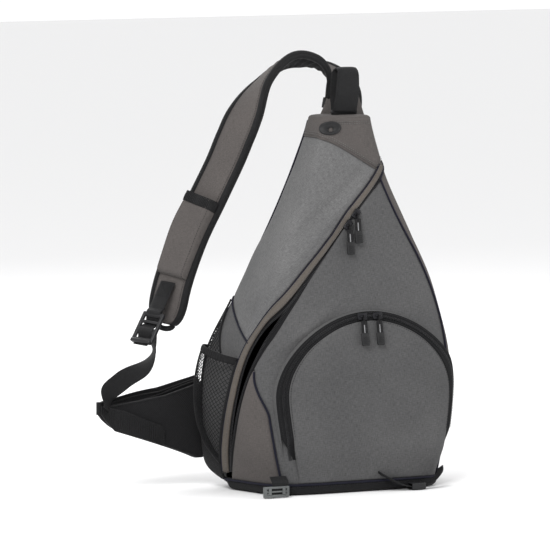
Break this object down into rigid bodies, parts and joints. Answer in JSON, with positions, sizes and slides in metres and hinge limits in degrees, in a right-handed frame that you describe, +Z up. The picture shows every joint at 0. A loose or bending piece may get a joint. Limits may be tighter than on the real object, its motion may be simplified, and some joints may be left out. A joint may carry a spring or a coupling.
{
  "type": "sling bag",
  "caption": "Upright grey sling bag with a diagonal main zip, arched front pocket, mesh bottle pocket, padded strap and waist wing.",
  "frame": {"origin": "centre of the base, on the floor", "axes": "+Z up, +Y to the back panel, +X to the right seen from the front"},
  "size_m": [0.4673, 0.2051, 0.5656],
  "materials": {
    "grey_fabric": "matt",
    "warm_grey_fabric": "matt",
    "binding_tape": "satin",
    "black_fabric": "matt",
    "black_mesh": "matt",
    "webbing": "satin",
    "zip_metal": "satin",
    "hardware_plastic": "satin",
    "rubber": "matt",
    "foam": "matt",
    "board": "matt"
  },
  "bodies": {
    "bag": {"cover_panel": "grey_fabric", "cover_binding": "binding_tape", "front_panel": "grey_fabric", "front_gusset_left": "warm_grey_fabric", "side_panel_left": "grey_fabric", "side_panel_right": "warm_grey_fabric", "top_yoke": "warm_grey_fabric", "back_panel": "black_mesh", "back_foam": "foam", "base_panel": "black_fabric", "base_board": "board", "main_zip_tape_upper": "webbing", "main_zip_tape_lower": "webbing", "pocket_panel": "grey_fabric", "pocket_gusset": "grey_fabric", "pocket_zip_tape": "webbing", "earphone_port": "rubber", "mesh_pocket": "black_mesh", "mesh_pocket_band": "webbing"},
    "main_zip_slider_upper": {"main_zip_slider_upper": "zip_metal"},
    "main_zip_slider_lower": {"main_zip_slider_lower": "zip_metal"},
    "main_zip_pull_upper": {"main_zip_pull_upper": "rubber"},
    "main_zip_pull_lower": {"main_zip_pull_lower": "rubber"},
    "pocket_zip_slider_left": {"pocket_zip_slider_left": "zip_metal"},
    "pocket_zip_slider_right": {"pocket_zip_slider_right": "zip_metal"},
    "pocket_pull_left": {"pocket_pull_left": "rubber"},
    "pocket_pull_right": {"pocket_pull_right": "rubber"},
    "grab_handle": {"grab_handle": "webbing"},
    "sling": {"strap_outer": "warm_grey_fabric", "strap_foam": "foam", "strap_lining": "black_mesh", "strap_binding": "webbing", "strap_pocket": "grey_fabric", "strap_pocket_trim": "webbing", "strap_anchor_webbing": "webbing", "ladder_lock": "hardware_plastic", "adjuster_webbing": "webbing", "wing_back": "black_fabric", "wing_divider_front": "black_fabric", "wing_divider_rear": "black_fabric", "wing_pouch": "black_fabric", "wing_band": "webbing"},
    "lash_left": {"lash_webbing_left": "webbing", "lash_buckle_left": "hardware_plastic"},
    "lash_right": {"lash_webbing_right": "webbing", "lash_slider_right": "hardware_plastic"}
  },
  "joints": [
    {"name": "main_zip_upper_slide", "type": "slide", "parent": "bag", "child": "main_zip_slider_upper", "axis": [0.6157, 0.0941, 0.7824], "range_m": [0, 0.05]},
    {"name": "main_zip_upper_pull_hinge", "type": "hinge", "parent": "main_zip_slider_upper", "child": "main_zip_pull_upper", "pos_m": [0.00735, -0.04663, 0.35588], "axis": [-1, 0, 0], "range_deg": [0, 100]},
    {"name": "main_zip_lower_slide", "type": "slide", "parent": "bag", "child": "main_zip_slider_lower", "axis": [-0.6157, -0.0941, -0.7824], "range_m": [0, 0.05]},
    {"name": "main_zip_lower_pull_hinge", "type": "hinge", "parent": "main_zip_slider_lower", "child": "main_zip_pull_lower", "pos_m": [-0.0052, -0.04831, 0.34188], "axis": [-1, 0, 0], "range_deg": [0, 100]},
    {"name": "pocket_zip_left_slide", "type": "hinge", "parent": "bag", "child": "pocket_zip_slider_left", "pos_m": [0.01158, -0.07735, 0.09], "axis": [0, -0.9866, 0.163], "range_deg": [0, 35]},
    {"name": "pocket_pull_left_hinge", "type": "hinge", "parent": "pocket_zip_slider_left", "child": "pocket_pull_left", "pos_m": [0.00157, -0.07398, 0.22588], "axis": [-1, 0, 0], "range_deg": [0, 100]},
    {"name": "pocket_zip_right_slide", "type": "hinge", "parent": "bag", "child": "pocket_zip_slider_right", "pos_m": [0.01158, -0.07735, 0.09], "axis": [0, 0.9866, -0.163], "range_deg": [0, 35]},
    {"name": "pocket_pull_right_hinge", "type": "hinge", "parent": "pocket_zip_slider_right", "child": "pocket_pull_right", "pos_m": [0.02401, -0.07398, 0.22588], "axis": [-1, -0.0001, 0], "range_deg": [0, 100]},
    {"name": "grab_handle_fold", "type": "hinge", "parent": "bag", "child": "grab_handle", "pos_m": [0.006, -0.011, 0.4858], "axis": [1, 0, 0], "range_deg": [-5, 50]},
    {"name": "sling_swing", "type": "hinge", "parent": "bag", "child": "sling", "pos_m": [-0.16, 0.084, 0.06], "axis": [-0.3994, 0.1074, -0.9105], "range_deg": [-3, 25]},
    {"name": "lash_left_swing", "type": "hinge", "parent": "bag", "child": "lash_left", "pos_m": [-0.127, -0.0872, 0.024], "axis": [-1, 0, 0], "range_deg": [0, 70]},
    {"name": "lash_right_swing", "type": "hinge", "parent": "bag", "child": "lash_right", "pos_m": [0.065, -0.0915, 0.0225], "axis": [-1, 0, 0], "range_deg": [0, 70]}
  ]
}
